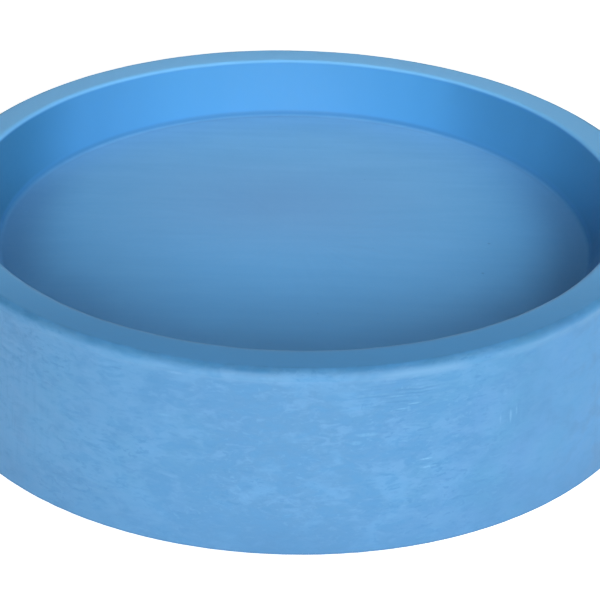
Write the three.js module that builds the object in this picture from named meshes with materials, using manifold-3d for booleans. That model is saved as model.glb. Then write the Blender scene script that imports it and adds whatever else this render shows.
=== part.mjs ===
// A round mud pan: a shallow dish on a tall, slightly flared wall, closed from below by a
// base plate that stands on rubber feet. Units are millimetres, +Z is up, and the origin
// is the centre of the plane that the feet stand on.
//
// The pan comes apart from below. Six screws pass through the feet and the base plate into
// bosses under the dish. Drawn up, they clamp the outer wall between the rim and the plate.

import * as THREE from 'three';
import { mergeVertices } from 'three/addons/utils/BufferGeometryUtils.js';
import Module from 'manifold-3d';

// ---------------------------------------------------------------- driving dimensions

const FIT_GAP = 0.3; // clearance left between pieces that touch
const SHELL = 4; // thickness of every moulded shell
const ROUND_STEPS = 72; // facets round the large shells
const CORNER_STEPS = 4; // facets on each rounded corner

const TOTAL_HEIGHT = 102; // feet to the top of the rim
const FOOT_REVEAL = 2; // how far the feet stand below the outer wall

const RIM_RADIUS = 200; // outside of the rim
const RIM_WIDTH = 20;
const RIM_THICKNESS = 6;
const RIM_SHOULDER = 4; // rounding of the rim's outer edge
const RIM_LIP = 3; // rounding of the rim's inner edge

const DISH_DEPTH = 32;
const FLOOR_RADIUS = 165; // where the dish wall would meet the floor without its fillet
const FLOOR_FILLET = 3;

const WALL_BASE_RADIUS = 208; // outside of the wall at its bottom edge
const LEDGE_STEP = 1.5; // the wall is thinner by this much below the plate's ledge

const TONGUE_RADIUS = 188; // middle of the tongue that locates the wall under the rim
const TONGUE_WIDTH = 3.4;
const TONGUE_HEIGHT = 2;

const PLATE_RADIUS = 204;
const PLATE_BOTTOM = 10; // height of the plate's underside

const RIB_COUNT = 12;
const RIB_THICKNESS = 3;
const RIB_DEPTH = 15;
const RIB_END_RADIUS = 160;
const RING_RIB_RADII = [20, 95]; // hub and intermediate ring

const FIXING_COUNT = 6; // feet, washers, screws and bosses
const FIXING_CIRCLE = 150; // radius of the circle that they stand on
const BOSS_RADIUS = 8;
const BOSS_BORE_RADIUS = 2.5;
const BOSS_BORE_DEPTH = 28;
const SCREW_HOLE_RADIUS = 2.8;

const FOOT_TOP_RADIUS = 15;
const FOOT_BOTTOM_RADIUS = 13.5;
const FOOT_ROUNDING = 1.5;
const FOOT_POCKET_RADIUS = 7;
const FOOT_POCKET_DEPTH = 6;

const WASHER_OUTER_RADIUS = 6;
const WASHER_INNER_RADIUS = 2.65;
const WASHER_THICKNESS = 1.2;

const SCREW_HEAD_RADIUS = 4.75;
const SCREW_HEAD_HEIGHT = 2.6;
const SCREW_HEAD_CROWN = 1.2;
const SCREW_SHANK_RADIUS = 2.2;
const SCREW_LENGTH = 30;
const SCREW_POINT = 2.5;
const RECESS_LENGTH = 5;
const RECESS_WIDTH = 1;
const RECESS_DEPTH = 1.4;

// ------------------------------------------------------------------ derived dimensions

const FLOOR_TOP = TOTAL_HEIGHT - DISH_DEPTH;
const FLOOR_UNDERSIDE = FLOOR_TOP - SHELL;
const RIM_UNDERSIDE = TOTAL_HEIGHT - RIM_THICKNESS;
const RIM_INNER_RADIUS = RIM_RADIUS - RIM_WIDTH;
const DISH_SLOPE = Math.atan((RIM_INNER_RADIUS - FLOOR_RADIUS) / DISH_DEPTH); // from upright
const WALL_TOP = RIM_UNDERSIDE - FIT_GAP;
const WALL_BOTTOM = FOOT_REVEAL;
const PLATE_TOP = PLATE_BOTTOM + SHELL;
const LEDGE_HEIGHT = PLATE_TOP + FIT_GAP;
const FOOT_HEIGHT = PLATE_BOTTOM - FIT_GAP;
const WASHER_TOP = FOOT_POCKET_DEPTH - FIT_GAP;
const WASHER_BOTTOM = WASHER_TOP - WASHER_THICKNESS;
const HEAD_TOP = WASHER_BOTTOM - FIT_GAP;
const HEAD_BOTTOM = HEAD_TOP - SCREW_HEAD_HEIGHT;

// ------------------------------------------------------------------------------ finishes

const PAN_BLUE = new THREE.MeshStandardMaterial({ color: 0x4b94cf, roughness: 0.5, metalness: 0 });
const WALL_BLUE = new THREE.MeshStandardMaterial({ color: 0x5aa3da, roughness: 0.65, metalness: 0 });
const PLATE_BLUE = new THREE.MeshStandardMaterial({ color: 0x3d78aa, roughness: 0.7, metalness: 0 });
const FOOT_RUBBER = new THREE.MeshStandardMaterial({ color: 0x24272a, roughness: 0.9, metalness: 0 });
const ZINC_STEEL = new THREE.MeshStandardMaterial({ color: 0xb9bdc1, roughness: 0.35, metalness: 1 });

// ----------------------------------------------------------------------- solid modelling

const wasm = await Module();
wasm.setup();

/** Points along an arc, with angles in radians from +r towards +z. */
function arc(centreR, centreZ, radius, from, to, steps = CORNER_STEPS) {
  const points = [];
  for (let i = 0; i <= steps; i += 1) {
    const angle = from + ((to - from) * i) / steps;
    points.push([centreR + radius * Math.cos(angle), centreZ + radius * Math.sin(angle)]);
  }
  return points;
}

/** Turns an anticlockwise (r, z) outline about the Z axis. */
function revolve(outline, steps) {
  const points = outline.map(([r, z]) => new THREE.Vector2(r, z));
  return new THREE.LatheGeometry(points, steps).rotateX(Math.PI / 2);
}

/** Turns a closed outline that stays clear of the axis, so that it makes a ring. */
function revolveRing(outline, steps) {
  return revolve([...outline, outline[0]], steps);
}

/** An upright cylinder standing on the height z. */
function upright(radius, z, height, steps) {
  return new THREE.CylinderGeometry(radius, radius, height, steps)
    .rotateX(Math.PI / 2)
    .translate(0, 0, z + height / 2);
}

/** Makes a three.js geometry into a solid, leaving out the faces that shrink to nothing. */
function toSolid(geometry) {
  const bare = geometry.clone();
  bare.deleteAttribute('normal');
  bare.deleteAttribute('uv');
  const welded = mergeVertices(bare, 1e-4);
  const corners = welded.index.array;
  const faces = [];
  for (let i = 0; i < corners.length; i += 3) {
    const [a, b, c] = corners.slice(i, i + 3);
    if (a !== b && b !== c && c !== a) {
      faces.push(a, b, c);
    }
  }
  return new wasm.Manifold(new wasm.Mesh({
    numProp: 3,
    vertProperties: Float32Array.from(welded.attributes.position.array),
    triVerts: Uint32Array.from(faces),
  }));
}

/** Makes a solid back into a three.js geometry. */
function toGeometry(solid) {
  const { vertProperties, triVerts } = solid.getMesh();
  const geometry = new THREE.BufferGeometry();
  geometry.setAttribute('position', new THREE.BufferAttribute(vertProperties, 3));
  geometry.setIndex(new THREE.BufferAttribute(triVerts, 1));
  geometry.computeVertexNormals();
  return geometry;
}

/** Joins the geometries in the second list to the first one, then cuts away the third. */
function carve(body, joined, cut) {
  let solid = toSolid(body);
  for (const piece of joined) {
    solid = solid.add(toSolid(piece));
  }
  for (const piece of cut) {
    solid = solid.subtract(toSolid(piece));
  }
  return toGeometry(solid);
}

/** The angles of equal steps round a full turn. */
function around(count) {
  return Array.from({ length: count }, (_, i) => (i * 2 * Math.PI) / count);
}

/** Copies a geometry, moved out to the fixing circle, to every fixing's place. */
function atEachFixing(geometry) {
  return around(FIXING_COUNT).map((angle) => geometry.clone()
    .translate(FIXING_CIRCLE, 0, 0)
    .rotateZ(angle));
}

// ----------------------------------------------------------------------------- inner pan

/** Radius of the dish's sloping inside face at height z. */
function dishRadius(z) {
  return FLOOR_RADIUS + (z - FLOOR_TOP) * Math.tan(DISH_SLOPE);
}

/** The dish, its wall and its rim, in section from the axis outwards and back. */
function panOutline() {
  const sideways = 1 / Math.cos(DISH_SLOPE); // turns a thickness into a level distance
  const outside = (z) => [dishRadius(z) + SHELL * sideways, z];
  const lipHeight = TOTAL_HEIGHT - RIM_LIP;
  const filletHeight = FLOOR_TOP + FLOOR_FILLET;
  const grooveHalf = TONGUE_WIDTH / 2 + FIT_GAP;
  return [
    [0, FLOOR_UNDERSIDE],
    outside(FLOOR_UNDERSIDE),
    outside(RIM_UNDERSIDE),
    [TONGUE_RADIUS - grooveHalf, RIM_UNDERSIDE],
    [TONGUE_RADIUS - grooveHalf, RIM_UNDERSIDE + TONGUE_HEIGHT],
    [TONGUE_RADIUS + grooveHalf, RIM_UNDERSIDE + TONGUE_HEIGHT],
    [TONGUE_RADIUS + grooveHalf, RIM_UNDERSIDE],
    [RIM_RADIUS, RIM_UNDERSIDE],
    ...arc(RIM_RADIUS - RIM_SHOULDER, TOTAL_HEIGHT - RIM_SHOULDER, RIM_SHOULDER, 0, Math.PI / 2),
    ...arc(dishRadius(lipHeight) + RIM_LIP * sideways, lipHeight, RIM_LIP,
      Math.PI / 2, Math.PI - DISH_SLOPE),
    ...arc(dishRadius(filletHeight) - FLOOR_FILLET * sideways, filletHeight, FLOOR_FILLET,
      -DISH_SLOPE, -Math.PI / 2),
    [0, FLOOR_TOP],
  ];
}

/** Straight ribs from the hub to the dish wall, and the rings that tie them together. */
function panRibs() {
  const overlap = 0.5; // how far the ribs are let into the floor
  const bottom = FLOOR_UNDERSIDE - RIB_DEPTH;
  const top = FLOOR_UNDERSIDE + overlap;
  const length = RIB_END_RADIUS - RING_RIB_RADII[0];
  const straight = around(RIB_COUNT).map((angle) => new THREE.BoxGeometry(
    length, RIB_THICKNESS, top - bottom)
    .translate(RING_RIB_RADII[0] + length / 2, 0, (top + bottom) / 2)
    .rotateZ(angle));
  const rings = RING_RIB_RADII.map((radius) => revolveRing([
    [radius - RIB_THICKNESS / 2, bottom],
    [radius + RIB_THICKNESS / 2, bottom],
    [radius + RIB_THICKNESS / 2, top],
    [radius - RIB_THICKNESS / 2, top],
  ], ROUND_STEPS / 2));
  return [...straight, ...rings];
}

function innerPan() {
  const bossBottom = PLATE_TOP + FIT_GAP;
  const boss = upright(BOSS_RADIUS, bossBottom, FLOOR_UNDERSIDE - bossBottom + SHELL / 2, 20);
  const bore = upright(BOSS_BORE_RADIUS, bossBottom - 1, BOSS_BORE_DEPTH + 1, 12);
  return carve(
    revolve(panOutline(), ROUND_STEPS),
    [...panRibs(), ...atEachFixing(boss)],
    atEachFixing(bore),
  );
}

// ---------------------------------------------------------------------------- outer wall

/** Radius of the wall's outside at height z. */
function wallRadius(z) {
  const flare = (WALL_BASE_RADIUS - RIM_RADIUS) / (WALL_TOP - WALL_BOTTOM);
  return RIM_RADIUS + (WALL_TOP - z) * flare;
}

/** A flared skirt, with a flange and tongue under the rim and a ledge for the base plate. */
function outerWall() {
  const flangeBottom = WALL_TOP - SHELL;
  const tongueInner = TONGUE_RADIUS - TONGUE_WIDTH / 2;
  const tongueOuter = TONGUE_RADIUS + TONGUE_WIDTH / 2;
  return revolveRing([
    [WALL_BASE_RADIUS - SHELL + LEDGE_STEP, WALL_BOTTOM],
    [WALL_BASE_RADIUS, WALL_BOTTOM],
    [RIM_RADIUS, WALL_TOP],
    [tongueOuter, WALL_TOP],
    [tongueOuter, WALL_TOP + TONGUE_HEIGHT],
    [tongueInner, WALL_TOP + TONGUE_HEIGHT],
    [tongueInner, flangeBottom],
    [wallRadius(flangeBottom) - SHELL, flangeBottom],
    [wallRadius(LEDGE_HEIGHT) - SHELL, LEDGE_HEIGHT],
    [wallRadius(LEDGE_HEIGHT) - SHELL + LEDGE_STEP, LEDGE_HEIGHT],
  ], ROUND_STEPS);
}

// ---------------------------------------------------------------------------- base plate

/** A flat disc that closes the pan from below, drilled for the screws. */
function basePlate() {
  const disc = revolve([
    [0, PLATE_BOTTOM],
    [PLATE_RADIUS, PLATE_BOTTOM],
    [PLATE_RADIUS, PLATE_TOP],
    [0, PLATE_TOP],
  ], ROUND_STEPS);
  const hole = upright(SCREW_HOLE_RADIUS, PLATE_BOTTOM - 1, SHELL + 2, 12);
  return carve(disc, [], atEachFixing(hole));
}

// --------------------------------------------------------------- feet and their fixings

/** A tapered rubber foot, with a pocket below for the washer and the screw's head. */
function foot() {
  return revolveRing([
    [FOOT_POCKET_RADIUS, 0],
    ...arc(FOOT_BOTTOM_RADIUS - FOOT_ROUNDING, FOOT_ROUNDING, FOOT_ROUNDING, -Math.PI / 2, 0, 2),
    [FOOT_TOP_RADIUS, FOOT_HEIGHT],
    [SCREW_HOLE_RADIUS, FOOT_HEIGHT],
    [SCREW_HOLE_RADIUS, FOOT_POCKET_DEPTH],
    [FOOT_POCKET_RADIUS, FOOT_POCKET_DEPTH],
  ], 24);
}

function washer() {
  return revolveRing([
    [WASHER_INNER_RADIUS, WASHER_BOTTOM],
    [WASHER_OUTER_RADIUS, WASHER_BOTTOM],
    [WASHER_OUTER_RADIUS, WASHER_TOP],
    [WASHER_INNER_RADIUS, WASHER_TOP],
  ], 20);
}

/** A pan-head screw, point up, with a cross recess in its head. */
function screw() {
  const body = revolve([
    [0, HEAD_BOTTOM],
    ...arc(SCREW_HEAD_RADIUS - SCREW_HEAD_CROWN, HEAD_BOTTOM + SCREW_HEAD_CROWN,
      SCREW_HEAD_CROWN, -Math.PI / 2, 0, 2),
    [SCREW_HEAD_RADIUS, HEAD_TOP],
    [SCREW_SHANK_RADIUS, HEAD_TOP],
    [SCREW_SHANK_RADIUS, HEAD_TOP + SCREW_LENGTH - SCREW_POINT],
    [0, HEAD_TOP + SCREW_LENGTH],
  ], 16);
  const slot = new THREE.BoxGeometry(RECESS_LENGTH, RECESS_WIDTH, 2 * RECESS_DEPTH)
    .translate(0, 0, HEAD_BOTTOM);
  return carve(body, [], [slot, slot.clone().rotateZ(Math.PI / 2)]);
}

// ------------------------------------------------------------------------------ assembly

const group = new THREE.Group();

function addPiece(parent, name, geometry, material) {
  const mesh = new THREE.Mesh(geometry, material);
  mesh.name = name;
  parent.add(mesh);
}

addPiece(group, 'inner_pan', innerPan(), PAN_BLUE);
addPiece(group, 'outer_wall', outerWall(), WALL_BLUE);
addPiece(group, 'base_plate', basePlate(), PLATE_BLUE);

const footShape = foot();
const washerShape = washer();
const screwShape = screw();

around(FIXING_COUNT).forEach((angle, i) => {
  const fixing = new THREE.Group();
  fixing.position.set(FIXING_CIRCLE * Math.cos(angle), FIXING_CIRCLE * Math.sin(angle), 0);
  fixing.rotation.z = angle;
  addPiece(fixing, `foot_${i + 1}`, footShape, FOOT_RUBBER);
  addPiece(fixing, `foot_washer_${i + 1}`, washerShape, ZINC_STEEL);
  addPiece(fixing, `foot_screw_${i + 1}`, screwShape, ZINC_STEEL);
  group.add(fixing);
});

export default group;
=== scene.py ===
"""The mud pan's looks: moulded shells with real unevenness, wear and some painted light and shade, rubber
feet and fixings.

Every piece is built in metres in the CAD frame: +Z is up and the feet stand on z = 0.
"""

import math

import bpy
import numpy as np
from mathutils import Matrix, Vector


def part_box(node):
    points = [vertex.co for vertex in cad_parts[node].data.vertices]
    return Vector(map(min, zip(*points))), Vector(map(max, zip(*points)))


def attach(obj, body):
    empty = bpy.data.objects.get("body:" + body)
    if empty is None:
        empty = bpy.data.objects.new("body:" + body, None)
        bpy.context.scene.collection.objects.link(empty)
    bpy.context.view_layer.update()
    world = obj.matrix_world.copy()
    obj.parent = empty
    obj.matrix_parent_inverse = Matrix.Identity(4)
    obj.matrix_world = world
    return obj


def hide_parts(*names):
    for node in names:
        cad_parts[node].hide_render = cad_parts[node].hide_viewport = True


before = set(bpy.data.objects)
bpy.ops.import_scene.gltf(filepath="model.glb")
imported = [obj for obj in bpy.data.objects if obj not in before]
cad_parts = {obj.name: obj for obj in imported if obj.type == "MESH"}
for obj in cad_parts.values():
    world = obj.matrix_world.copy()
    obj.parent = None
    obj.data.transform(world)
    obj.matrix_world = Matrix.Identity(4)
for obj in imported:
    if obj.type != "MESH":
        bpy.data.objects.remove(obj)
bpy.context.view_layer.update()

# ---------------------------------------------------------------- sizes, in metres

MM = 0.001

_, pan_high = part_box("inner_pan")
wall_low, wall_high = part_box("outer_wall")
plate_low, plate_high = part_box("base_plate")
foot_low, foot_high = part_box("foot_1")
washer_low, washer_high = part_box("foot_washer_1")
screw_low, screw_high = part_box("foot_screw_1")

RIM_RADIUS = pan_high.x
RIM_TOP = pan_high.z
RIM_WIDTH = 20 * MM
RIM_THICKNESS = 6 * MM
RIM_SHOULDER = 4 * MM
RIM_LIP = 3 * MM
RIM_UNDERSIDE = RIM_TOP - RIM_THICKNESS
SHELL = 4 * MM
INSET = 0.3 * MM  # how far the uneven faces stand inside the CAD's, so that none passes them
STILL_MIDDLE = 50 * MM  # within this radius, unevenness fades away towards the axis

FLOOR_TOP = RIM_TOP - 32 * MM
FLOOR_UNDERSIDE = FLOOR_TOP - SHELL
FLOOR_RADIUS = 165 * MM
FLOOR_FILLET = 3 * MM
DISH_MOUTH = RIM_RADIUS - RIM_WIDTH
DISH_SLOPE = math.atan((DISH_MOUTH - FLOOR_RADIUS) / (RIM_TOP - FLOOR_TOP))

SEAM = 0.05 * MM  # what shows between the rim and the wall clamped up against it
WALL_BASE_RADIUS = wall_high.x
WALL_BOTTOM = wall_low.z
WALL_TOP = RIM_UNDERSIDE - SEAM
LEDGE_STEP = 1.5 * MM
TONGUE_RADIUS = 188 * MM
TONGUE_WIDTH = 3.4 * MM
TONGUE_HEIGHT = 2 * MM
GROOVE_GAP = 0.3 * MM

PLATE_RADIUS = plate_high.x
PLATE_BOTTOM = plate_low.z
PLATE_TOP = plate_high.z

RIB_COUNT = 12
RIB_THICKNESS = 3 * MM
RIB_BOTTOM = FLOOR_UNDERSIDE - 15 * MM
RING_RIB_RADII = (20 * MM, 95 * MM)
RIB_END_RADIUS = 160 * MM

FIXING_COUNT = 6
FIXING_CIRCLE = (foot_low.x + foot_high.x) / 2
SCREW_HOLE_RADIUS = 2.8 * MM
BOSS_RADIUS = 8 * MM
BOSS_BORE_RADIUS = 2.5 * MM
BOSS_BORE_DEPTH = 28 * MM
PIN_MARK_CIRCLES = (85 * MM, 178 * MM)
PIN_MARK_RADIUS = 4.8 * MM


# ---------------------------------------------------------------- outlines and meshes

def arc(centre_r, centre_z, radius, start, end, steps):
    """Points on an arc, with angles in degrees from +r towards +z."""
    angles = np.radians(np.linspace(start, end, steps + 1))
    return [(centre_r + radius * math.cos(a), centre_z + radius * math.sin(a)) for a in angles]


def refine(outline, spacing, keep=0.3 * MM, closed=False):
    """Splits an outline's long runs into steps, with a short step next to each corner."""
    points = list(outline)
    if closed:
        points.append(points[0])
    refined = [points[0]]
    for start, end in zip(points, points[1:]):
        length = math.dist(start, end)
        if length > 3 * keep:
            count = max(1, round(length / spacing))
            inner = [i / count for i in range(1, count)]
            shares = [keep / length, *inner, 1 - keep / length]
            refined += [tuple(np.add(start, np.subtract(end, start) * share)) for share in shares]
        refined.append(end)
    return refined[:-1] if closed else refined


def mesh_object(name, points, faces):
    """A smooth-shaded mesh object whose sharp corners stay sharp."""
    mesh = bpy.data.meshes.new(name)
    mesh.from_pydata(points, [], faces)
    mesh.validate()
    mesh.shade_smooth()
    mesh.set_sharp_from_angle(angle=math.radians(35))
    made = bpy.data.objects.new(name, mesh)
    bpy.context.scene.collection.objects.link(made)
    return made


def revolve(name, outline, steps, closed=False, shift=None):
    """Turns an anticlockwise (r, z) outline about Z. shift gives each point a small (dr, dz)."""
    radii, heights = np.array(outline).T
    angle, r = np.meshgrid(np.arange(steps) * 2 * np.pi / steps, radii)
    z = np.repeat(heights[:, None], steps, axis=1)
    if shift is not None:
        dr, dz = shift(angle, r, z)
        r, z = r + dr, z + dz
    points = np.stack([r * np.cos(angle), r * np.sin(angle), z], axis=-1).reshape(-1, 3)
    rows = len(outline)
    faces = []
    for i in range(rows if closed else rows - 1):
        here, above = i * steps, (i + 1) % rows * steps
        for j in range(steps):
            k = (j + 1) % steps
            if radii[i] < 1e-9:
                faces.append((here, above + k, above + j))
            elif radii[(i + 1) % rows] < 1e-9:
                faces.append((here + j, here + k, above))
            else:
                faces.append((here + j, here + k, above + k, above + j))
    return mesh_object(name, points.tolist(), faces)


def box_piece(name, low, high, turn):
    """A plain block between two corners, turned about Z: only ever a tool for joins and cuts."""
    xs, ys, zs = zip(low, high)
    corners = [(x, y, z) for z in zs for y in ys for x in xs]
    faces = [(0, 2, 3, 1), (4, 5, 7, 6), (0, 1, 5, 4), (2, 6, 7, 3), (0, 4, 6, 2), (1, 3, 7, 5)]
    made = mesh_object(name, corners, faces)
    made.data.transform(Matrix.Rotation(turn, 4, "Z"))
    return made


def rod(name, radius, low, high):
    """An upright cylinder on the Z axis."""
    return revolve(name, [(0, low), (radius, low), (radius, high), (0, high)], 32)


def settle(piece):
    """Applies a piece's modifiers to its mesh."""
    evaluated = piece.evaluated_get(bpy.context.evaluated_depsgraph_get())
    mesh = bpy.data.meshes.new_from_object(evaluated)
    piece.modifiers.clear()
    old = piece.data
    piece.data = mesh
    bpy.data.meshes.remove(old)


def join_or_cut(piece, tools, operation):
    """Joins tools to a piece, or cuts them out of it, and removes the tools."""
    for tool in tools:
        change = piece.modifiers.new("change", "BOOLEAN")
        change.operation = operation
        change.solver = "MANIFOLD"
        change.object = tool
    settle(piece)
    for tool in tools:
        bpy.data.objects.remove(tool)


def around(count, make):
    """Calls make with the index and the angle of each of count equal steps round a full turn."""
    return [make(i, i * 2 * math.pi / count) for i in range(count)]


def moved_out(piece, angle):
    """Puts a piece made on the Z axis at its place on the fixing circle."""
    piece.data.transform(Matrix.Rotation(angle, 4, "Z") @ Matrix.Translation((FIXING_CIRCLE, 0, 0)))
    return piece


# ---------------------------------------------------------------- unevenness and wear

def waves(seed, count, most_turns, most_per_metre):
    """Smooth noise over angle and height that closes on itself, mostly between -1 and 1."""
    draw = np.random.default_rng(seed)
    turns = draw.integers(1, most_turns + 1, count)
    climbs = draw.uniform(-1, 1, count) * 2 * np.pi * most_per_metre
    phases = draw.uniform(0, 2 * np.pi, count)

    def height_at(angle, along):
        total = np.zeros_like(angle)
        for turn, climb, phase in zip(turns, climbs, phases):
            total += np.cos(turn * angle + climb * along + phase)
        return total * math.sqrt(2 / count) / 1.6

    return height_at


def marks(seed, count, band, long_side, short_side, depth):
    """Random dents or scratches on a band of the wall. long_side runs round the wall."""
    draw = np.random.default_rng(seed)
    places = draw.uniform(0, 2 * np.pi, count)
    heights = draw.uniform(*band, count)
    longs = draw.uniform(*long_side, count)
    shorts = draw.uniform(*short_side, count)
    depths = draw.uniform(*depth, count)
    tilts = draw.normal(0, 0.05, count)

    def depth_at(angle, along):
        total = np.zeros_like(angle)
        for place, height, wide, tall, deep, tilt in zip(places, heights, longs, shorts, depths, tilts):
            across = RIM_RADIUS * ((angle - place + np.pi) % (2 * np.pi) - np.pi)
            up = along - height - tilt * across
            total += deep * np.exp(-((across / wide) ** 2) * 4 - (up / tall) ** 2 * 4)
        return total

    return depth_at


shoulder_waves = waves(seed=3, count=26, most_turns=34, most_per_metre=4)
long_waves = waves(seed=5, count=12, most_turns=7, most_per_metre=6)
wall_ripples = waves(seed=11, count=60, most_turns=150, most_per_metre=110)
dish_waves = waves(seed=17, count=14, most_turns=6, most_per_metre=9)
lip_waves = waves(seed=23, count=20, most_turns=60, most_per_metre=20)
wall_dents = marks(
    seed=29, count=90, band=(0.01, 0.092),
    long_side=(2.5 * MM, 9 * MM), short_side=(2 * MM, 5 * MM), depth=(0.05 * MM, 0.3 * MM))
wall_scratches = marks(
    seed=31, count=150, band=(0.008, 0.094),
    long_side=(9 * MM, 40 * MM), short_side=(0.9 * MM, 1.8 * MM), depth=(0.04 * MM, 0.16 * MM))
shoulder_nicks = marks(
    seed=37, count=46, band=(0.090, 0.099),
    long_side=(2 * MM, 6 * MM), short_side=(1.5 * MM, 4 * MM), depth=(0.1 * MM, 0.45 * MM))


def outer_shift(angle, r, z):
    """How far the outside of the rim and wall stands in from its true cone."""
    near_shoulder = np.exp(-(((z - RIM_UNDERSIDE) / (7 * MM)) ** 2))
    uneven = 0.16 * MM * long_waves(angle, z) + 0.045 * MM * wall_ripples(angle, z)
    uneven += 0.3 * MM * near_shoulder * shoulder_waves(angle, z)
    worn = wall_dents(angle, z) + wall_scratches(angle, z) + shoulder_nicks(angle, z)
    return np.minimum(uneven - INSET, 0) - worn


# ---------------------------------------------------------------- inner pan

def dish_radius(z):
    """Radius of the dish's sloping inside face at height z."""
    return FLOOR_RADIUS + (z - FLOOR_TOP) * math.tan(DISH_SLOPE)


def pan_outline():
    """The pan's section from the axis out along its underside, over the rim and back."""
    sideways = 1 / math.cos(DISH_SLOPE)
    slope = math.degrees(DISH_SLOPE)
    lip = RIM_TOP - RIM_LIP
    fillet = FLOOR_TOP + FLOOR_FILLET
    half = TONGUE_WIDTH / 2 + GROOVE_GAP
    beneath = [
        (0, FLOOR_UNDERSIDE),
        (dish_radius(FLOOR_UNDERSIDE) + SHELL * sideways, FLOOR_UNDERSIDE),
        (dish_radius(RIM_UNDERSIDE) + SHELL * sideways, RIM_UNDERSIDE),
        (TONGUE_RADIUS - half, RIM_UNDERSIDE),
        (TONGUE_RADIUS - half, RIM_UNDERSIDE + TONGUE_HEIGHT),
        (TONGUE_RADIUS + half, RIM_UNDERSIDE + TONGUE_HEIGHT),
        (TONGUE_RADIUS + half, RIM_UNDERSIDE),
        (RIM_RADIUS, RIM_UNDERSIDE),
    ]
    rim = [
        (RIM_RADIUS, RIM_UNDERSIDE),
        *arc(RIM_RADIUS - RIM_SHOULDER, RIM_TOP - RIM_SHOULDER, RIM_SHOULDER, 0, 90, 12),
        *arc(dish_radius(lip) + RIM_LIP * sideways, lip, RIM_LIP, 90, 180 - slope, 8),
    ]
    wall = arc(dish_radius(fillet) - FLOOR_FILLET * sideways, fillet, FLOOR_FILLET, -slope, -90, 8)
    floor = [wall[-1], (0.02, FLOOR_TOP), (0, FLOOR_TOP)]
    return (
        refine(beneath, 25 * MM)
        + refine(rim, 1.2 * MM, keep=0.4 * MM)[1:]
        + refine([rim[-1], *wall], 1.5 * MM, keep=0.4 * MM)[1:]
        + refine(floor, 5 * MM)[1:]
    )


def pan_shift(angle, r, z):
    """Small unevenness of the rim and dish. The underside stays true."""
    in_dish = (z >= FLOOR_TOP - 0.1 * MM) & (r < dish_radius(z) + 0.5 * MM)
    top_side = (z > RIM_UNDERSIDE - 0.1 * MM) | in_dish
    outside = np.clip((r - (RIM_RADIUS - RIM_SHOULDER)) / RIM_SHOULDER, 0, 1)
    inside = np.clip((DISH_MOUTH + 4 * MM - r) / (4 * MM), 0, 1)
    near_lip = r > 150 * MM
    dr = outside * outer_shift(angle, r, z) + inside * 0.12 * MM * lip_waves(angle, z) * near_lip
    fade = np.clip(r / STILL_MIDDLE, 0, 1)
    dz = fade * (0.15 * MM * dish_waves(angle, 3 * r) + 0.05 * MM * lip_waves(angle, r)) - INSET
    return dr * top_side, dz * top_side * (z > FLOOR_UNDERSIDE + 0.5 * MM) * (z > FLOOR_TOP - 0.1 * MM)


def make_pan():
    """The dish and rim, with ribs, ring ribs and bored bosses under the floor."""
    pan = revolve("inner_pan_moulding", pan_outline(), 384, shift=pan_shift)
    top = FLOOR_UNDERSIDE + 1 * MM
    half = RIB_THICKNESS / 2
    ribs = around(RIB_COUNT, lambda i, angle: box_piece(
        f"rib_tool_{i}", (RING_RIB_RADII[0], -half, RIB_BOTTOM), (RIB_END_RADIUS, half, top), angle))
    rings = [
        revolve(f"ring_tool_{i}", [
            (radius - half, RIB_BOTTOM),
            (radius + half, RIB_BOTTOM),
            (radius + half, top),
            (radius - half, top),
        ], 96, closed=True)
        for i, radius in enumerate(RING_RIB_RADII)
    ]
    boss_low = PLATE_TOP + GROOVE_GAP
    bosses = around(FIXING_COUNT, lambda i, angle: moved_out(
        rod(f"boss_tool_{i}", BOSS_RADIUS, boss_low, top), angle))
    bores = around(FIXING_COUNT, lambda i, angle: moved_out(
        rod(f"bore_tool_{i}", BOSS_BORE_RADIUS, boss_low - 1 * MM, boss_low + BOSS_BORE_DEPTH), angle))
    join_or_cut(pan, ribs + rings + bosses, "UNION")
    join_or_cut(pan, bores, "DIFFERENCE")
    return pan


# ---------------------------------------------------------------- outer wall

def cone_radius(z):
    """Radius of the wall's outside at height z."""
    return RIM_RADIUS + (WALL_TOP - z) * (WALL_BASE_RADIUS - RIM_RADIUS) / (WALL_TOP - WALL_BOTTOM)


def make_wall():
    """The tall skirt, with a tongue in the rim's groove and a ledge for the base plate."""
    edge = 0.5 * MM  # rounding of the bottom edge
    flange = WALL_TOP - SHELL
    ledge = PLATE_TOP + GROOVE_GAP
    inner = TONGUE_RADIUS - TONGUE_WIDTH / 2
    outer = TONGUE_RADIUS + TONGUE_WIDTH / 2
    outside = [
        *arc(WALL_BASE_RADIUS - edge, WALL_BOTTOM + edge, edge, -90, 0, 4),
        (cone_radius(WALL_TOP), WALL_TOP),
    ]
    inside = [
        (cone_radius(WALL_TOP), WALL_TOP),
        (outer, WALL_TOP),
        (outer, WALL_TOP + TONGUE_HEIGHT - GROOVE_GAP),
        (inner, WALL_TOP + TONGUE_HEIGHT - GROOVE_GAP),
        (inner, flange),
        (cone_radius(flange) - SHELL, flange),
        (cone_radius(ledge) - SHELL, ledge),
        (cone_radius(ledge) - SHELL + LEDGE_STEP, ledge),
        (WALL_BASE_RADIUS - SHELL + LEDGE_STEP, WALL_BOTTOM),
        outside[0],
    ]
    outline = refine(outside, 0.8 * MM) + refine(inside, 12 * MM)[1:-1]

    def shift(angle, r, z):
        outer_face = r > cone_radius(z) - 1 * MM
        return outer_shift(angle, r, z) * outer_face, np.zeros_like(z)

    return revolve("outer_wall_moulding", outline, 640, closed=True, shift=shift)


# ---------------------------------------------------------------- base plate

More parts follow.
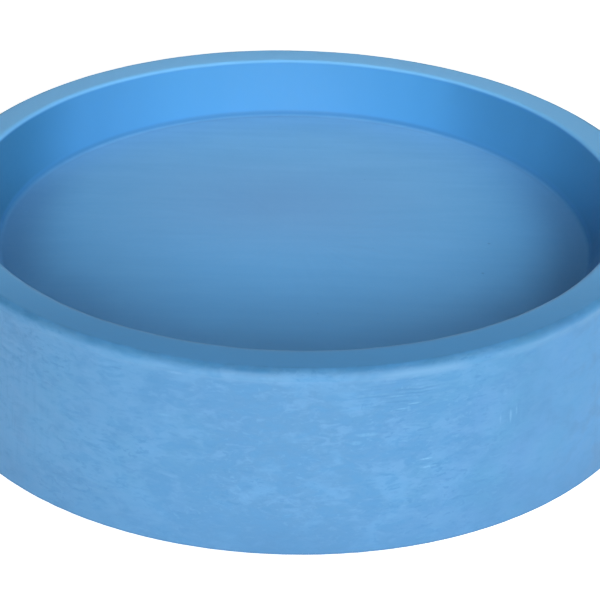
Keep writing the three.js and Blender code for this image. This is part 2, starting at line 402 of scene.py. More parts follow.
def make_plate():
    """The round base plate, sagging a little underneath, with its screw holes and marks."""
    edge = 0.6 * MM
    outline = [
        (0, PLATE_BOTTOM),
        *arc(PLATE_RADIUS - edge, PLATE_BOTTOM + edge, edge, -90, 0, 4),
        *arc(PLATE_RADIUS - edge, PLATE_TOP - edge, edge, 0, 90, 4),
        (0, PLATE_TOP),
    ]

    def shift(angle, r, z):
        beneath = (z < PLATE_BOTTOM + 0.1 * MM) & (r < PLATE_RADIUS - 2 * edge)
        sag = np.clip(0.15 + 0.15 * dish_waves(angle, 3 * r), 0, 0.4) * MM
        return np.zeros_like(r), sag * beneath * np.clip(r / STILL_MIDDLE, 0, 1)

    plate = revolve("base_plate_moulding", refine(outline, 8 * MM), 256, shift=shift)
    holes = around(FIXING_COUNT, lambda i, angle: moved_out(
        rod(f"hole_tool_{i}", SCREW_HOLE_RADIUS, PLATE_BOTTOM - 1 * MM, PLATE_TOP + 1 * MM), angle))
    join_or_cut(plate, holes + moulding_marks(), "DIFFERENCE")
    return plate


def moulding_marks():
    """Tools for the plate's shallow ejector-pin rings and the recess round its moulding gate."""
    low = PLATE_BOTTOM - 1 * MM

    def ring(name, inner, outer, depth):
        high = PLATE_BOTTOM + depth
        return revolve(name, [(inner, low), (outer, low), (outer, high), (inner, high)], 48, closed=True)

    def pin_mark(name, angle, distance):
        mark = ring(name, PIN_MARK_RADIUS - 0.6 * MM, PIN_MARK_RADIUS, 0.6 * MM)
        turn = Matrix.Rotation(angle + math.pi / FIXING_COUNT, 4, "Z")
        mark.data.transform(turn @ Matrix.Translation((distance, 0, 0)))
        return mark

    inner_circle, outer_circle = PIN_MARK_CIRCLES
    inner_marks = around(FIXING_COUNT, lambda i, angle: pin_mark(f"inner_pin_{i}", angle, inner_circle))
    outer_marks = around(FIXING_COUNT, lambda i, angle: pin_mark(f"outer_pin_{i}", angle, outer_circle))
    return [*inner_marks, *outer_marks, ring("gate_tool", 1.4 * MM, 7 * MM, 0.9 * MM)]


# ---------------------------------------------------------------- feet and fixings

def make_foot(name):
    """A tapered foot on the Z axis, pocketed from below."""
    pocket = 7 * MM
    pocket_top = 6 * MM
    tread_radius = 13.5 * MM
    rounding = 1.5 * MM
    outline = [
        (pocket, 0.3 * MM),
        *arc(pocket + 0.3 * MM, 0.3 * MM, 0.3 * MM, 180, 270, 3)[1:],
        *arc(tread_radius - rounding, rounding, rounding, -90, 0, 6),
        *arc(foot_high.x - FIXING_CIRCLE - 0.5 * MM, foot_high.z - 0.5 * MM, 0.5 * MM, 10, 90, 3),
        (SCREW_HOLE_RADIUS, foot_high.z),
        (SCREW_HOLE_RADIUS, pocket_top),
        (pocket, pocket_top),
    ]
    return revolve(name, refine(outline, 2 * MM, keep=0.2 * MM, closed=True), 64, closed=True)


def make_washer(name):
    """A flat washer on the Z axis, with rounded edges."""
    edge = 0.15 * MM
    outer = (washer_high.x - washer_low.x) / 2
    inner = 2.65 * MM
    low, high = washer_low.z, washer_high.z
    outline = [
        *arc(inner + edge, low + edge, edge, 180, 270, 2),
        *arc(outer - edge, low + edge, edge, -90, 0, 2),
        *arc(outer - edge, high - edge, edge, 0, 90, 2),
        *arc(inner + edge, high - edge, edge, 90, 180, 2),
    ]
    return revolve(name, outline, 48, closed=True)


def make_screw(name):
    """A pan-head screw with a cross recess and a thread that runs out at its point."""
    head = (screw_high.x - screw_low.x) / 2
    head_height = 2.6 * MM
    head_top = screw_low.z + head_height
    tip = screw_high.z
    crown = 1.2 * MM
    recess_depth = 1.4 * MM
    core, crest = 1.8 * MM, 2.2 * MM
    pitch = 1.6 * MM
    shank = [(core, z) for z in np.arange(head_top + 0.4 * MM, tip - 0.2 * MM, 0.2 * MM)]
    outline = [
        (0, screw_low.z),
        *arc(head - crown, screw_low.z + crown, crown, -90, 0, 6),
        *arc(head - 0.2 * MM, head_top - 0.2 * MM, 0.2 * MM, 0, 90, 2),
        (core, head_top),
        *shank,
        (0, tip),
    ]

    def thread(angle, r, z):
        turn = (z / pitch - angle / (2 * np.pi)) % 1
        profile = np.clip(1 - np.abs(turn - 0.5) * 4, 0, 1)
        on_shank = (z > head_top + 0.5 * MM) & (r > 0)
        taper = np.clip((tip - z) / (4 * MM), 0, 1)
        dr = (profile * (crest - core) * taper - (1 - taper) * core * 0.92) * on_shank
        return dr, np.zeros_like(z)

    screw = revolve(name, outline, 32, shift=thread)
    reach, half, recess_top = 2.5 * MM, 0.5 * MM, screw_low.z + recess_depth
    blades = [
        box_piece(f"{name}_blade_{i}", (-reach, -half, -1 * MM), (reach, half, recess_top), i * math.pi / 2)
        for i in range(2)
    ]
    join_or_cut(screw, blades, "DIFFERENCE")
    return screw


# ---------------------------------------------------------------- materials

def linear(red, green, blue):
    """A colour given in 0 to 255 display values, as Blender's linear values."""
    def one(value):
        value /= 255
        return value / 12.92 if value <= 0.04045 else ((value + 0.055) / 1.055) ** 2.4
    return (one(red), one(green), one(blue), 1)


def shade(colour, red, green=None, blue=None):
    """A colour with its channels scaled, all by the same share if only one is given."""
    shares = (red, red if green is None else green, red if blue is None else blue)
    return (*(min(1.0, c * share) for c, share in zip(colour, shares)), 1)


class Finish:
    """A material with its node tree, and short ways to add nodes to it."""

    def __init__(self, name, colour, roughness, metallic=0.0):
        self.material = bpy.data.materials.new(name)
        self.material.use_nodes = True
        self.tree = self.material.node_tree
        self.shader = self.tree.nodes["Principled BSDF"]
        self.shader.inputs["Metallic"].default_value = metallic
        self.shader.inputs["Base Color"].default_value = colour
        self.shader.inputs["Roughness"].default_value = roughness
        self.material.diffuse_color = colour
        self.place = self.tree.nodes.new("ShaderNodeTexCoord").outputs["Object"]

    def link(self, source, socket):
        """Links an output to a socket, or sets the socket to a plain value."""
        if isinstance(source, bpy.types.NodeSocket):
            self.tree.links.new(source, socket)
        else:
            socket.default_value = source

    def math(self, operation, *values):
        """One of Blender's math operations on a few values."""
        node = self.tree.nodes.new("ShaderNodeMath")
        node.operation = operation
        for value, socket in zip(values, node.inputs):
            self.link(value, socket)
        return node.outputs[0]

    def product(self, first, *others):
        """Multiplies two or more values."""
        for other in others:
            first = self.math("MULTIPLY", first, other)
        return first

    def stretched(self, x, y, z):
        """Object coordinates scaled by an amount per metre along each axis."""
        node = self.tree.nodes.new("ShaderNodeMapping")
        self.link(self.place, node.inputs["Vector"])
        node.inputs["Scale"].default_value = (x, y, z)
        return node.outputs[0]

    def noise(self, scale, detail=2.0, roughness=0.5, seed=0.0, place=None, distortion=0.0):
        """Smooth noise from 0 to 1. Its patches are about 1 / scale metres wide."""
        node = self.tree.nodes.new("ShaderNodeTexNoise")
        node.noise_dimensions = "4D"
        self.link(place or self.place, node.inputs["Vector"])
        node.inputs["W"].default_value = seed
        node.inputs["Scale"].default_value = scale
        node.inputs["Detail"].default_value = detail
        node.inputs["Roughness"].default_value = roughness
        node.inputs["Distortion"].default_value = distortion
        return node.outputs["Fac"]

    def spots(self, scale):
        """Distance to the nearest of many scattered points, as a share of their spacing."""
        node = self.tree.nodes.new("ShaderNodeTexVoronoi")
        self.link(self.place, node.inputs["Vector"])
        node.inputs["Scale"].default_value = scale
        return node.outputs["Distance"]

    def spread(self, value, low, high, to_low=0.0, to_high=1.0):
        """Maps low..high to to_low..to_high smoothly, and stays within them."""
        node = self.tree.nodes.new("ShaderNodeMapRange")
        node.interpolation_type = "SMOOTHSTEP"
        settings = (value, low, high, to_low, to_high)
        for setting, socket in zip(settings, ("Value", "From Min", "From Max", "To Min", "To Max")):
            self.link(setting, node.inputs[socket])
        return node.outputs[0]

    def mix(self, factor, first, second):
        """Goes from the first colour to the second as the factor goes from 0 to 1."""
        node = self.tree.nodes.new("ShaderNodeMix")
        node.data_type = "RGBA"
        colour_a, colour_b, result = node.inputs[6], node.inputs[7], node.outputs[2]
        self.link(factor, node.inputs["Factor"])
        self.link(first, colour_a)
        self.link(second, colour_b)
        return result

    def axis(self, name):
        """An object coordinate, in metres."""
        node = self.tree.nodes.new("ShaderNodeSeparateXYZ")
        self.link(self.place, node.inputs[0])
        return node.outputs[name]

    def length(self, vector):
        """The length of a vector."""
        node = self.tree.nodes.new("ShaderNodeVectorMath")
        node.operation = "LENGTH"
        self.link(vector, node.inputs[0])
        return node.outputs["Value"]

    def radius(self):
        """Distance from the pan's axis, in metres."""
        return self.length(self.stretched(1, 1, 0))

    def band(self, value, middle, half_width):
        """1 where a value is at the middle, falling smoothly to 0 at half_width from it."""
        away = self.math("ABSOLUTE", self.math("SUBTRACT", value, middle))
        return self.spread(away, 0, half_width, 1, 0)

    def patch(self, azimuth, height, half_long, half_tall, soft=0.5):
        """An oval on the wall, 1 inside and 0 outside. Azimuth is from -Y towards +X, in degrees."""
        turn = math.radians(azimuth)
        node = self.tree.nodes.new("ShaderNodeMapping")
        node.vector_type = "TEXTURE"
        self.link(self.place, node.inputs["Vector"])
        centre = (cone_radius(height) * math.sin(turn), -cone_radius(height) * math.cos(turn), height)
        node.inputs["Location"].default_value = centre
        node.inputs["Rotation"].default_value = (0, 0, turn)
        node.inputs["Scale"].default_value = (half_long, 0.05, half_tall)
        return self.spread(self.length(node.outputs[0]), 1 - soft, 1, 1, 0)

    def bumps(self, layers):
        """Stacks (height, distance in metres) layers into the shader's normal."""
        normal = None
        for height, distance in layers:
            node = self.tree.nodes.new("ShaderNodeBump")
            node.inputs["Distance"].default_value = distance
            self.link(height, node.inputs["Height"])
            if normal is not None:
                self.link(normal, node.inputs["Normal"])
            normal = node.outputs[0]
        self.link(normal, self.shader.inputs["Normal"])


PAN_BLUE = linear(70, 147, 209)
WALL_BLUE = linear(68, 126, 172)


# Marks that stand out on the wall: azimuth, height, half length and half height in mm, strength
PALE_MARKS = (
    (17, 81, 5, 0.5, 0.8),
    (15.3, 79, 4.5, 0.45, 0.7),
    (14.5, 86, 6, 0.5, 0.4),
    (10.5, 67, 7, 1.4, 0.5),
    (9, 63, 4, 1.5, 0.4),
    (19, 50, 4.5, 0.7, 1.0),
    (19.3, 45.5, 5.5, 0.8, 0.9),
    (30.3, 62, 0.8, 3.5, 0.5),
    (32, 62, 0.9, 5, 0.7),
    (33, 64, 0.8, 3, 0.5),
    (-17, 72, 5, 0.8, 0.4),
    (-15.5, 95, 6, 0.8, 0.5),
    (31, 76, 2, 2.5, 0.3),
)
DARK_MARKS = (
    (12.8, 95, 0.9, 1.6, 0.9),
    (13.2, 71.5, 2.4, 1.6, 0.6),
    (19.5, 47.7, 4.5, 0.5, 0.5),
    (19.5, 39, 6, 0.7, 0.4),
    (23, 98.5, 0.9, 1.6, 0.9),
    (14.5, 34, 3, 1.2, 0.4),
    (-24, 91, 5, 0.8, 0.6),
    (-27, 80, 2.4, 1.2, 0.5),
    (-30, 23, 1.2, 3.5, 0.5),
)


def marked(finish, rows):
    """Adds up the marks of a list, broken up by fine noise."""
    total = None
    for azimuth, height, half_long, half_tall, strength in rows:
        spot = finish.patch(azimuth, height * MM, half_long * MM, half_tall * MM, soft=0.7)
        spot = finish.product(spot, strength)
        total = spot if total is None else finish.math("MAXIMUM", total, spot)
    return finish.product(total, finish.spread(finish.noise(700, 2, seed=9.0), 0.3, 0.6, 0.4, 1))


def rubbed_shoulder_and_highlight(finish):
    """A broken paler line along the rim's outer shoulder: partly rubbed where the pan is carried and
    knocked, partly a painted highlight.
    """
    line = finish.band(finish.axis("Z"), RIM_UNDERSIDE + 1.2 * MM, 3.6 * MM)
    broken = finish.spread(finish.noise(48, 3, 0.6, seed=4.0), 0.44, 0.66, 0.15, 0.7)
    right = finish.patch(18, RIM_UNDERSIDE, 34 * MM, 8 * MM, soft=0.6)
    left = finish.patch(-18, RIM_UNDERSIDE, 20 * MM, 6 * MM, soft=0.8)
    far_right = finish.patch(36, RIM_UNDERSIDE, 42 * MM, 8 * MM, soft=0.8)
    worst = finish.math("MAXIMUM", right, finish.product(left, 0.6))
    worst = finish.math("MAXIMUM", worst, finish.product(far_right, 0.6))
    return finish.product(line, finish.math("MAXIMUM", broken, worst))


class Scuffs:
    """The scuffed skin of the wall and the rim's outside: its colour, roughness and bumps."""

    def __init__(self, finish):
        self.finish = finish
        worked = finish.patch(14, 52 * MM, 52 * MM, 62 * MM, soft=0.7)
        elsewhere = finish.spread(finish.axis("X"), 0.075, 0.13, 1, 0.35)
        self.lively = finish.math("MULTIPLY_ADD", worked, 0.2, elsewhere)
        self.clouds = finish.noise(
            58, 3, 0.5, seed=12.0, place=finish.stretched(1, 1, 1.2), distortion=0.4)
        self.blotches = finish.noise(
            1, 3, 0.6, seed=14.5, place=finish.stretched(85, 85, 190), distortion=0.8)
        self.flecks = finish.noise(
            1, 3, 0.6, seed=13.0, place=finish.stretched(190, 190, 430), distortion=0.8)
        self.fleck_places = finish.product(
            finish.spread(finish.noise(24, 2, seed=16.0), 0.42, 0.6, 0.5, 1), self.lively)
        self.scrapes = finish.noise(1, 3, 0.6, seed=15.0, place=finish.stretched(330, 330, 22))
        self.scrape_places = self.find_scrape_places()
        self.ribs = self.find_ribs()
        self.pale = marked(finish, PALE_MARKS)
        self.dark = marked(finish, DARK_MARKS)

    def find_scrape_places(self):
        """Where the wall is scraped upwards: round its left, and a little in other places."""
        finish = self.finish
        left = finish.patch(-50, 50 * MM, 85 * MM, 60 * MM, soft=0.6)
        right = finish.product(finish.patch(32, 66 * MM, 14 * MM, 22 * MM, soft=0.7), 0.5)
        others = finish.spread(finish.noise(20, 2, seed=17.0), 0.56, 0.66, 0, 0.35)
        return finish.math("MAXIMUM", finish.math("MAXIMUM", left, right), others)

    def find_ribs(self):
        """Fine level lines, close together, in one patch under the rim."""
        finish = self.finish
        wander = finish.product(finish.noise(90, 2, seed=14.0), 9.0)
        phase = finish.math("MULTIPLY_ADD", finish.axis("Z"), 2 * math.pi / (1.9 * MM), wander)
        wave = finish.spread(finish.math("SINE", phase), -1, 1)
        scratches = finish.noise(1, 3, 0.6, seed=20.0, place=finish.stretched(75, 75, 560))
        uneven = finish.spread(scratches, 0.4, 0.6, 0.15, 1)
        return finish.product(wave, uneven, finish.patch(15, 86 * MM, 30 * MM, 14 * MM, soft=0.8))

    def layered(self, colour, amount, share, tint):
        """Lays a tint of the wall's blue over a colour, by an amount times a share."""
        finish = self.finish
        return finish.mix(finish.product(amount, share), colour, shade(WALL_BLUE, *tint))

    def colour(self):
        """The wall's blue under its tints, mottling, scrapes, single marks and rubbed shoulder, whose paler
        line is partly a painted highlight.
        """
        finish = self.finish
        hue = finish.noise(30, 2, 0.5, seed=11.0)
        greener = shade(WALL_BLUE, 0.93, 1.01, 0.98)
        redder = shade(WALL_BLUE, 1.08, 1.0, 1.02)
        colour = finish.mix(finish.spread(hue, 0.38, 0.62), greener, redder)
        for amount, share, tint in (*self.wide_tints(), *self.mottling(), *self.wear_and_highlight()):
            colour = self.layered(colour, amount, share, tint)
        return colour

    def wide_tints(self):
        """Layers that shift the colour at the pan's ends, in its middle and on its left."""
        finish = self.finish
        sideways = finish.math("ABSOLUTE", finish.axis("X"))
        return (
            (finish.spread(sideways, 0.11, 0.17), 0.9, (1.02, 1.13, 1.17)),
            (finish.spread(sideways, 0, 0.1, 1, 0), 0.9, (0.86, 0.88, 0.88)),
            (finish.spread(finish.axis("X"), -0.035, -0.09), 0.6, (1.24, 1.1, 1.04)),
        )

    def mottling(self):
        """Layers of pale and dark clouds, blotches and flecks, from wide to fine."""
        finish = self.finish
        pale_blotches = finish.product(finish.spread(self.blotches, 0.49, 0.68), self.lively)
        dark_blotches = finish.product(finish.spread(self.blotches, 0.5, 0.36), self.lively)
        pale_flecks = finish.product(finish.spread(self.flecks, 0.56, 0.68), self.fleck_places)
        dark_flecks = finish.product(finish.spread(self.flecks, 0.46, 0.35), self.fleck_places)
        return (
            (finish.spread(self.clouds, 0.48, 0.7), 0.8, (1.28, 1.13, 1.08)),
            (finish.spread(self.clouds, 0.5, 0.34), 0.75, (0.78, 0.9, 0.93)),
            (pale_blotches, 0.65, (1.34, 1.11, 1.06)),
            (dark_blotches, 0.6, (0.76, 0.92, 0.95)),
            (pale_flecks, 0.6, (1.42, 1.16, 1.08)),
            (dark_flecks, 0.62, (0.66, 0.84, 0.88)),
        )

    def wear_and_highlight(self):
        """Layers of ribs, upward scrapes, single marks and the rubbed shoulder, which is partly a painted
        highlight.
        """
        finish = self.finish
        streaks = finish.product(finish.spread(self.scrapes, 0.53, 0.68), self.scrape_places)
        gouges = finish.product(finish.spread(self.scrapes, 0.45, 0.32), self.scrape_places)
        return (
            (self.ribs, 0.85, (0.66, 0.84, 0.88)),
            (streaks, 0.45, (1.25, 1.16, 1.08)),
            (gouges, 0.4, (0.78, 0.87, 0.9)),
            (self.pale, 0.9, (1.9, 1.42, 1.22)),
            (self.dark, 0.75, (0.6, 0.76, 0.82)),
            # the rubbed shoulder's paler line is partly a painted highlight
            (rubbed_shoulder_and_highlight(finish), 0.9, (1.9, 1.27, 1.09)),
        )

    def roughness(self):
        """Cloudy roughness, a little glossier on the pale marks."""
        rough = self.finish.spread(self.clouds, 0.3, 0.7, 0.5, 0.64)
        return self.finish.math("SUBTRACT", rough, self.finish.product(self.pale, 0.15))

    def bumps(self, share=1.0):
        """Bump layers about a mean of 0, so that scaling them by a share leaves no step."""
        finish = self.finish
        flecks = finish.product(finish.math("SUBTRACT", self.flecks, 0.5), self.fleck_places)
        scrapes = finish.product(finish.math("SUBTRACT", self.scrapes, 0.5), self.scrape_places)
        grain = finish.math("SUBTRACT", finish.noise(1500, 2, seed=19.0), 0.5)
        return [
            (finish.product(grain, share), 0.025 * MM),
            (finish.product(flecks, share), 0.2 * MM),
            (finish.product(self.ribs, share), 0.12 * MM),
            (finish.product(scrapes, share), 0.14 * MM),
        ]


def edge_painted_shade(finish, radius):
    """Painted shade on the dish's floor where the walls shade it: along its side edges and under its front
    lip.
    """
    right = finish.spread(finish.axis("X"), 0.1, 0.15)
    left = finish.spread(finish.axis("X"), -0.16, -0.11, 1.15, 0)
    at_sides = finish.product(
        finish.math("MAXIMUM", left, right),
        finish.spread(radius, 0.115, 0.155),
        finish.spread(finish.axis("Y"), 0.03, 0.09, 1, 0.35),
    )
    in_front = finish.product(
        finish.spread(radius, 0.105, 0.15),
        finish.spread(finish.axis("Y"), -0.09, -0.03, 1, 0),
        0.7,
    )
    return finish.math("MAXIMUM", at_sides, in_front)


def worn_and_shaded_floor(finish, colour, on_floor, radius):
    """Hazes the dish's floor with scraping and a painted sheen that grows towards the back, greys its
    middle, paints shade along its edge and adds specks.
    """
    strokes = finish.noise(1, 4, 0.6, seed=3.0, place=finish.stretched(18, 150, 18))
    # The haze is partly scraping and partly a painted sheen that grows towards the back.
    haze_and_sheen = finish.product(
        finish.spread(radius, 0.08, FLOOR_RADIUS, 1, 0.8),
        finish.spread(finish.axis("Y"), -0.14, 0.17, 0.2, 1),
        finish.spread(finish.axis("X"), 0.08, 0.16, 1, 0.6),
        finish.spread(strokes, 0.25, 0.75, 0.78, 1.04),
    )
    middle = finish.product(
        finish.band(finish.axis("X"), -0.01, 0.13), finish.band(finish.axis("Y"), 0.04, 0.09))
    specks = finish.spread(finish.spots(42), 0.02, 0.05, 1, 0)
    layers = (
        (haze_and_sheen, 0.68, (3.8, 1.9, 1.42)),
        # painted shade along the floor's side edges and under its front lip
        (edge_painted_shade(finish, radius), 0.6, (1.0, 0.77, 0.77)),
        (middle, 0.65, (2.1, 1.07, 0.93)),
        (specks, 0.5, (0.7,)),
    )
    for amount, share, tint in layers:
        colour = finish.mix(finish.product(on_floor, amount, share), colour, shade(PAN_BLUE, *tint))
    return colour


def slope_light_and_shade(finish, colour, height, radius):
    """Paints light and shade on the dish's sides: lighter at the back, painted shade in front and at the
    ends, and painted shade in the corner above the floor.
    """
    on_slope = finish.product(
        finish.spread(height, FLOOR_TOP + 1 * MM, FLOOR_TOP + 4 * MM),
        finish.spread(height, RIM_TOP - 3 * MM, RIM_TOP - 1.5 * MM, 1, 0),
        finish.spread(radius, DISH_MOUTH, DISH_MOUTH + 2 * MM, 1, 0),
    )
    sideways = finish.math("ABSOLUTE", finish.axis("X"))
    at_back = finish.product(
        on_slope,
        finish.spread(finish.axis("Y"), 0.08, 0.16),
        finish.spread(sideways, 0.07, 0.13, 1, 0.2),
    )
    in_front = finish.product(on_slope, finish.spread(finish.axis("Y"), -0.02, 0.1, 1, 0))
    at_left = finish.product(on_slope, finish.spread(finish.axis("X"), -0.17, -0.13, 1, 0))
    at_right = finish.product(
        on_slope,
        finish.spread(finish.axis("X"), 0.08, 0.12, 0, 0.38),
        finish.spread(finish.axis("Y"), 0, 0.06),
    )
    corner = finish.product(
        finish.band(height, FLOOR_TOP + 1.2 * MM, 2 * MM),
        finish.spread(radius, FLOOR_RADIUS - 4 * MM, FLOOR_RADIUS - 2 * MM),
    )
    # Every layer here is painted light and shade: lighter at the back, and painted shade in front, at the
    # ends and in the corner.
    layers = (
        (at_back, (1.12, 1.13, 1.1)),
        (in_front, (0.68, 0.76, 0.78)),
        (finish.math("MAXIMUM", at_left, at_right), (0.66, 0.74, 0.72)),
        (corner, (0.85, 0.84, 0.86)),
    )
    for amount, tint in layers:
        colour = finish.mix(amount, colour, shade(PAN_BLUE, *tint))
    return colour


def worn_lip_and_highlight(finish, colour, height, radius):
    """Pales the rim's inner edge, partly rubbed wear and partly a painted highlight: most at the back, and
    greyer in front.
    """
    inner_lip = finish.product(
        finish.band(radius, DISH_MOUTH + 0.5 * MM, 4 * MM),
        finish.spread(height, RIM_TOP - 3 * MM, RIM_TOP - 1 * MM),
        finish.spread(finish.noise(38, 3, 0.6, seed=5.0), 0.35, 0.6, 0.4, 1),
    )
    at_back = finish.product(
        finish.spread(finish.axis("Y"), 0.1, 0.17),
        finish.spread(finish.math("ABSOLUTE", finish.axis("X")), 0.05, 0.11, 1, 0.2),
        finish.spread(finish.noise(24, 2, 0.6, seed=5.5), 0.4, 0.6, 0.3, 1),
    )
    in_front = finish.spread(finish.axis("Y"), -0.02, 0.08, 0.3, 0)
    polish_and_highlight = finish.product(inner_lip, finish.math("MULTIPLY_ADD", at_back, 0.95, in_front))
    front_lip_highlight = finish.product(inner_lip, finish.spread(finish.axis("Y"), -0.04, 0.04, 0.85, 0))
    # Along the lip, the paler colour is partly wear and partly a painted highlight.
    colour = finish.mix(polish_and_highlight, colour, shade(PAN_BLUE, 1.5, 1.22, 1.12))
    return finish.mix(front_lip_highlight, colour, shade(PAN_BLUE, 1.45, 1.05, 0.93))


def rim_painted_sheen(finish, colour, height):
    """Paints a sheen on the rim's flat top, much more at the back than in front."""
    on_rim = finish.spread(height, RIM_TOP - 2.5 * MM, RIM_TOP - 1 * MM)
    # Painted sheen: the rim's top is made paler towards the back.
    back_sheen = finish.product(on_rim, finish.spread(finish.axis("Y"), -0.18, -0.02, 0.16, 1))
    return finish.mix(finish.product(back_sheen, 0.8), colour, shade(PAN_BLUE, 3.4, 2.0, 1.57))


def pan_plastic():
    """Dull satin plastic with a used dish, and painted shade, sheen and highlights on the dish and rim.
    Outside, the rim is scuffed as the wall is.
    """
    finish = Finish("pan_satin_blue", PAN_BLUE, 0.55)
    finish.shader.inputs["Specular IOR Level"].default_value = 0.3
    height = finish.axis("Z")
    radius = finish.radius()
    on_floor = finish.spread(height, FLOOR_TOP + 0.2 * MM, FLOOR_TOP + 2 * MM, 1, 0)
    cloud = finish.noise(14, 3, seed=1.0)
    grain = finish.noise(330, 3, 0.6, seed=2.0)
    clouded = shade(PAN_BLUE, 0.99, 0.96, 0.95)
    clear = shade(PAN_BLUE, 1.06, 1.02, 1.01)
    speckled = shade(PAN_BLUE, 1.08, 1.05, 1.03)
    colour = finish.mix(finish.spread(cloud, 0.3, 0.7), clouded, clear)
    colour = finish.mix(finish.spread(grain, 0.3, 0.7, 0, 0.3), colour, speckled)
    colour = worn_and_shaded_floor(finish, colour, on_floor, radius)
    colour = worn_lip_and_highlight(finish, colour, height, radius)
    colour = slope_light_and_shade(finish, colour, height, radius)
    colour = rim_painted_sheen(finish, colour, height)
    scuffs = Scuffs(finish)
    wander = finish.spread(finish.noise(120, 3, 0.6, seed=8.0), 0.3, 0.7, -0.4 * MM, 0.4 * MM)
    outside = finish.spread(
        finish.math("ADD", radius, wander), RIM_RADIUS - 4.8 * MM, RIM_RADIUS - 1.2 * MM)
    colour = finish.mix(outside, colour, scuffs.colour())
    finish.link(colour, finish.shader.inputs["Base Color"])
    satin = finish.math("MULTIPLY_ADD", on_floor, 0.1, finish.spread(grain, 0.2, 0.8, 0.5, 0.62))
    rougher = finish.math("SUBTRACT", scuffs.roughness(), satin)
    finish.link(finish.math("MULTIPLY_ADD", rougher, outside, satin), finish.shader.inputs["Roughness"])
    finish.bumps([
        (finish.noise(2200, 2, seed=6.0), 0.012 * MM),
        (finish.noise(240, 2, seed=7.0), 0.02 * MM),
        *scuffs.bumps(outside),
    ])
    return finish.material


def wall_plastic():
    """Scuffed plastic, with dirt at the wall's foot, a stain low in front and painted shade along the
    bottom edge.
    """
    finish = Finish("wall_scuffed_blue", WALL_BLUE, 0.58)
    height = finish.axis("Z")
    scuffs = Scuffs(finish)
    grime = finish.product(
        finish.spread(height, WALL_BOTTOM, 0.035, 1, 0),
        finish.spread(finish.noise(60, 4, 0.6, seed=18.0), 0.3, 0.7, 0.5, 1),
    )
    colour = scuffs.layered(scuffs.colour(), grime, 0.6, (0.76, 0.83, 0.86))
    stain = finish.patch(0, 0, 60 * MM, 26 * MM, soft=0.9)
    colour = scuffs.layered(colour, stain, 0.55, (0.62, 0.74, 0.78))
    # Painted shade: a dark band along the bottom edge where the wall meets the floor.
    foot_painted_shade = finish.spread(height, WALL_BOTTOM + 0.3 * MM, WALL_BOTTOM + 1.6 * MM, 1, 0)
    colour = scuffs.layered(colour, foot_painted_shade, 0.6, (0.5, 0.58, 0.62))
    finish.link(colour, finish.shader.inputs["Base Color"])
    finish.link(scuffs.roughness(), finish.shader.inputs["Roughness"])
    finish.bumps(scuffs.bumps())
    return finish.material


def base_plastic():
    """Fine-grained matte plastic, dusty and scraped by what it has stood on."""
    blue = linear(66, 124, 176)
    finish = Finish("base_grained_blue", blue, 0.7)
    dust = finish.noise(75, 5, 0.65, seed=21.0)
    grain = finish.noise(900, 2, seed=22.0)
    scrapes = finish.noise(1, 4, 0.7, seed=23.0, place=finish.stretched(520, 22, 20))
    colour = finish.mix(finish.spread(dust, 0.42, 0.72, 0, 0.25), blue, linear(140, 162, 180))
    swirls = finish.spread(finish.noise(9, 2, seed=24.0, distortion=1.5), 0.35, 0.7, 0, 0.3)
    colour = finish.mix(swirls, colour, shade(blue, 0.86, 0.9, 0.93))
    colour = finish.mix(finish.spread(scrapes, 0.6, 0.75, 0, 0.35), colour, linear(120, 165, 205))
    colour = finish.mix(finish.spread(grain, 0.35, 0.65, 0, 0.25), colour, shade(blue, 0.8))
    finish.link(colour, finish.shader.inputs["Base Color"])
    finish.link(finish.spread(dust, 0.3, 0.7, 0.6, 0.8), finish.shader.inputs["Roughness"])
    finish.bumps([(grain, 0.08 * MM), (scrapes, 0.05 * MM)])
    return finish.material


def foot_rubber():
    """Matte black rubber, greyed by dust and scuffed underneath."""
    black = linear(34, 35, 37)
    finish = Finish("foot_black_rubber", black, 0.85)
    dust = finish.noise(260, 4, 0.6, seed=31.0)
    tread = finish.spread(finish.axis("Z"), 0, 1.5 * MM, 1, 0)
    scuffed = finish.product(tread, finish.spread(dust, 0.35, 0.6, 0.15, 0.6))
    colour = finish.mix(finish.spread(dust, 0.45, 0.75, 0, 0.5), black, linear(92, 94, 96))
    colour = finish.mix(scuffed, colour, linear(112, 112, 110))
    finish.link(colour, finish.shader.inputs["Base Color"])
    finish.link(finish.spread(dust, 0.3, 0.7, 0.75, 0.95), finish.shader.inputs["Roughness"])
    finish.bumps([(finish.noise(1500, 2, seed=32.0), 0.1 * MM)])
    return finish.material


def fastener_steel():
    """Zinc-plated steel, clouded by handling."""
    grey = linear(186, 190, 194)
    finish = Finish("fastener_zinc_steel", grey, 0.35, metallic=1.0)
    cloud = finish.noise(500, 3, 0.6, seed=41.0)
    colour = finish.mix(finish.spread(cloud, 0.35, 0.7), shade(grey, 0.85), shade(grey, 1.05))
    finish.link(colour, finish.shader.inputs["Base Color"])
    finish.link(finish.spread(cloud, 0.3, 0.7, 0.28, 0.45), finish.shader.inputs["Roughness"])
    finish.bumps([(finish.noise(3000, 2, seed=42.0), 0.02 * MM)])
    return finish.material


# ---------------------------------------------------------------- assembly

def fit(piece, node, material):
    """Shows a piece in place of its CAD node, with a material slot's finish."""
    piece.data.materials.clear()
    piece.data.materials.append(material)
    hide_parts(node)
    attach(piece, "root")


steel = fastener_steel()
rubber = foot_rubber()
fit(make_pan(), "inner_pan", pan_plastic())
fit(make_wall(), "outer_wall", wall_plastic())
fit(make_plate(), "base_plate", base_plastic())


def fit_fixing(index, angle):
    """Fits one foot with its washer and screw at their place on the fixing circle."""
    number = index + 1
    foot = moved_out(make_foot(f"foot_{number}_rubber"), angle)
    washer = moved_out(make_washer(f"foot_washer_{number}_steel"), angle)
    screw = moved_out(make_screw(f"foot_screw_{number}_steel"), angle)
    fit(foot, f"foot_{number}", rubber)
    fit(washer, f"foot_washer_{number}", steel)
    fit(screw, f"foot_screw_{number}", steel)


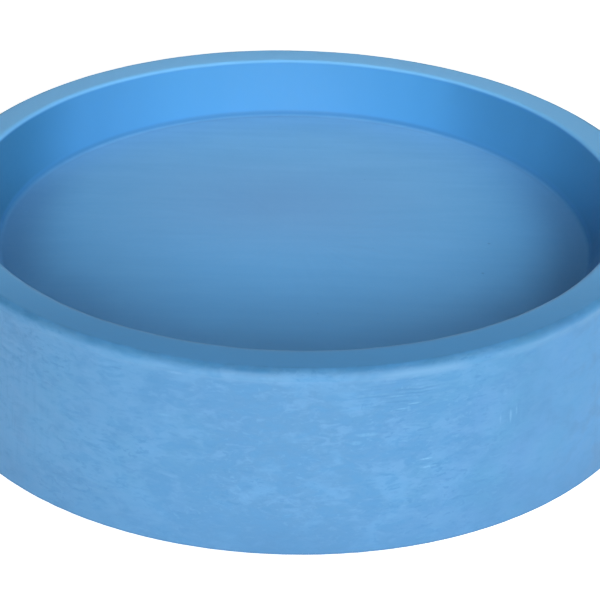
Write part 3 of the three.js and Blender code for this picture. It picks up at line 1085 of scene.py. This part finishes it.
around(FIXING_COUNT, fit_fixing)

# ---------------------------------------------------------------- studio floor, light and camera

STUDIO_SIZE = 12.0
STUDIO_DROP = 0.02 * MM  # keeps the floor just clear of the feet
STUDIO_GLOW = 0.85
LIGHT_DISTANCE = 2.4


def make_floor():
    """A plain white floor with a faint glow of its own, so that it shows as white."""
    half = STUDIO_SIZE / 2
    corners = ((-half, -half), (half, -half), (half, half), (-half, half))
    floor = mesh_object("floor", [(x, y, -STUDIO_DROP) for x, y in corners], [(0, 1, 2, 3)])
    white = Finish("floor_white", (0.8, 0.8, 0.8, 1), 0.9)
    white.shader.inputs["Specular IOR Level"].default_value = 0.1
    white.shader.inputs["Emission Color"].default_value = (1, 1, 1, 1)
    white.shader.inputs["Emission Strength"].default_value = STUDIO_GLOW
    floor.data.materials.append(white.material)


def around_pan(azimuth, elevation, distance):
    """A place seen from the pan's middle. Azimuth is from -Y towards +X, in degrees."""
    turn, rise = math.radians(azimuth), math.radians(elevation)
    level = distance * math.cos(rise)
    return (level * math.sin(turn), -level * math.cos(turn), distance * math.sin(rise))


def area_light(name, place, target, width, height, watts, spread=180):
    """A rectangular light aimed at a target. Spread is in degrees."""
    light = bpy.data.lights.new(name, "AREA")
    light.shape = "RECTANGLE"
    light.size = width
    light.size_y = height
    light.energy = watts
    light.spread = math.radians(spread)
    holder = bpy.data.objects.new(name, light)
    holder.location = place
    holder.rotation_euler = (Vector(target) - Vector(place)).to_track_quat("-Z", "Y").to_euler()
    bpy.context.scene.collection.objects.link(holder)


def make_lights():
    """Soft light, mostly from the camera's side, and two gridded boxes aimed into the dish."""
    middle = (0, 0, 0.06)
    soft_boxes = (
        # azimuth, elevation, width, height, watts
        ("front", 0, 14, 1.2, 0.5, 25),
        ("front_higher", 0, 20, 1.2, 0.6, 20.4),
        ("right_front", 30, 23, 1.0, 0.6, 8),
        ("right_high", 65, 40, 1.5, 0.8, 13.2),
        ("left_high", -65, 40, 1.5, 0.8, 3.2),
        ("back_low", 180, 10, 3.0, 0.5, 11.6),
    )
    for name, azimuth, elevation, *shape_and_watts in soft_boxes:
        area_light(name, around_pan(azimuth, elevation, LIGHT_DISTANCE), middle, *shape_and_watts)
    area_light("dish_back", (0, 0.7, 1.2), (0, 0.1, 0.07), 0.4, 0.4, 0.08, spread=30)
    area_light("dish_middle", (0, 0.3, 1.3), (0, 0.02, 0.07), 0.3, 0.3, 0.11, spread=16)


def make_world():
    world = bpy.data.worlds.new("studio")
    world.use_nodes = True
    background = world.node_tree.nodes["Background"]
    background.inputs["Color"].default_value = (1, 1, 1, 1)
    background.inputs["Strength"].default_value = 0.01
    bpy.context.scene.world = world


def make_camera():
    """A long lens about a metre away, looking down at the pan by a little under 30 degrees."""
    aside, back, above = 0.0197, 4.522, 2.188  # from the middle of the rim's top, in rim radii
    pitch, roll = 0.5162, 0.0225  # in radians
    camera = bpy.data.cameras.new("camera")
    camera.sensor_width = 36
    camera.lens = 108
    holder = bpy.data.objects.new("camera", camera)
    holder.location = (aside * RIM_RADIUS, -back * RIM_RADIUS, RIM_TOP + above * RIM_RADIUS)
    holder.rotation_mode = "QUATERNION"
    turn = Matrix.Rotation(math.pi / 2 - pitch, 3, "X") @ Matrix.Rotation(roll, 3, "Z")
    holder.rotation_quaternion = turn.to_quaternion()
    bpy.context.scene.collection.objects.link(holder)
    bpy.context.scene.camera = holder


make_floor()
make_world()
make_lights()
make_camera()
bpy.context.scene.view_settings.view_transform = "Standard"
